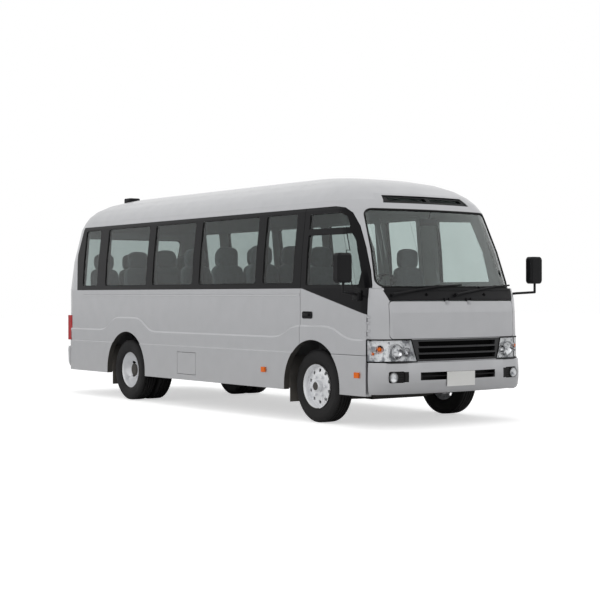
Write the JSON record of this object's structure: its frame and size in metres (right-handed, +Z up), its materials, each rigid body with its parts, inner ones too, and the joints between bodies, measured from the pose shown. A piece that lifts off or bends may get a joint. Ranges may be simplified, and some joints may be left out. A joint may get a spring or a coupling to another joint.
{
  "type": "minibus",
  "caption": "Forward-control minibus with twin rear wheels, steering, hinged driver's and entry doors, fuel lid and front lid.",
  "frame": {"origin": "on the ground below the middle of the outline box", "axes": "+X forward, +Y to the vehicle's left, +Z up"},
  "size_m": [6.99, 2.816, 2.6332],
  "materials": {
    "paint": "gloss metallic silver",
    "band": "gloss black",
    "black_plastic": "fine grain matte",
    "glass": "green-grey tint",
    "lens": "clear lens",
    "red_lens": "red lens",
    "amber_lens": "amber lens",
    "chassis_black": "satin black",
    "steel": "plain steel",
    "wheel_paint": "silver",
    "tyre": "matte rubber",
    "rubber": "matte rubber",
    "seat_fabric": "dark grey woven",
    "interior": "grey moulded",
    "floor_cover": "grey vinyl"
  },
  "bodies": {
    "coach": {"window_frames": "band", "right_side_panel": "paint", "left_side_panel": "paint", "rear_panel": "paint", "rear_window": "glass", "roof_panel": "paint", "front_frame": "paint", "windscreen": "glass", "cowl_panel": "black_plastic", "rear_lamps": "red_lens", "fog_bezels": "black_plastic", "front_bumper": "paint", "rear_bumper": "paint", "grille": "black_plastic", "front_lamps": "lens", "side_markers": "amber_lens", "roof_vents": "black_plastic", "side_glass": "glass", "floor": "floor_cover", "chassis_frame": "chassis_black", "engine": "steel", "rear_axle": "chassis_black", "propeller_shaft": "steel", "front_suspension": "chassis_black", "fuel_tank": "chassis_black", "exhaust": "steel", "mud_flaps": "rubber", "dashboard": "interior", "passenger_seats": "seat_fabric", "front_seats": "seat_fabric", "mirror_left": "black_plastic", "wipers": "black_plastic"},
    "front_lid": {"front_lid": "paint"},
    "fuel_lid": {"fuel_lid": "paint"},
    "driver_door": {"driver_door": "paint", "driver_door_frame": "band", "driver_door_glass": "glass", "mirror_right": "black_plastic"},
    "entry_door": {"entry_door": "paint", "entry_door_frame": "band", "entry_door_glass": "glass"},
    "steering_wheel": {"steering_wheel": "black_plastic"},
    "knuckle_left": {"knuckle_left": "steel"},
    "knuckle_right": {"knuckle_right": "steel"},
    "front_wheel_left": {"front_wheel_left": "wheel_paint", "front_tyre_left": "tyre"},
    "front_wheel_right": {"front_wheel_right": "wheel_paint", "front_tyre_right": "tyre"},
    "rear_wheels_left": {"rear_wheels_left": "wheel_paint", "rear_tyres_left": "tyre"},
    "rear_wheels_right": {"rear_wheels_right": "wheel_paint", "rear_tyres_right": "tyre"}
  },
  "joints": [
    {"name": "steer_left", "type": "hinge", "parent": "coach", "child": "knuckle_left", "pos_m": [2.345, 0.782, 0.38], "axis": [0, 0, 1], "range_deg": [-35, 35]},
    {"name": "steer_right", "type": "hinge", "parent": "coach", "child": "knuckle_right", "pos_m": [2.345, -0.782, 0.38], "axis": [0, 0, 1], "range_deg": [-35, 35]},
    {"name": "steering_wheel_turn", "type": "hinge", "parent": "coach", "child": "steering_wheel", "pos_m": [2.74, -0.5, 1.425], "axis": [-0.5299, 0, 0.848], "range_deg": [-630, 630]},
    {"name": "roll_front_left", "type": "hinge", "parent": "knuckle_left", "child": "front_wheel_left", "pos_m": [2.345, 0.894, 0.38], "axis": [0, 1, 0], "continuous": true},
    {"name": "roll_front_right", "type": "hinge", "parent": "knuckle_right", "child": "front_wheel_right", "pos_m": [2.345, -0.894, 0.38], "axis": [0, 1, 0], "continuous": true},
    {"name": "roll_rear_left", "type": "hinge", "parent": "coach", "child": "rear_wheels_left", "pos_m": [-1.59, 0.775, 0.38], "axis": [0, 1, 0], "continuous": true},
    {"name": "roll_rear_right", "type": "hinge", "parent": "coach", "child": "rear_wheels_right", "pos_m": [-1.59, -0.775, 0.38], "axis": [0, 1, 0], "continuous": true},
    {"name": "driver_door_swing", "type": "hinge", "parent": "coach", "child": "driver_door", "pos_m": [3.223, -1.016, 1], "axis": [0, 0, 1], "range_deg": [0, 70]},
    {"name": "entry_door_swing", "type": "hinge", "parent": "coach", "child": "entry_door", "pos_m": [1.837, 1.041, 1], "axis": [0, 0, -1], "range_deg": [0, 85]},
    {"name": "fuel_lid_swing", "type": "hinge", "parent": "coach", "child": "fuel_lid", "pos_m": [0.082, -1.04, 0.52], "axis": [0, 0, 1], "range_deg": [0, 95]},
    {"name": "front_lid_lift", "type": "hinge", "parent": "coach", "child": "front_lid", "pos_m": [3.462, 0, 1.262], "axis": [0, -1, 0], "range_deg": [0, 50]}
  ],
  "couplings": [
    {"joint": "steer_right", "follows": "steer_left", "ratio": 1},
    {"joint": "steering_wheel_turn", "follows": "steer_left", "ratio": 18}
  ]
}
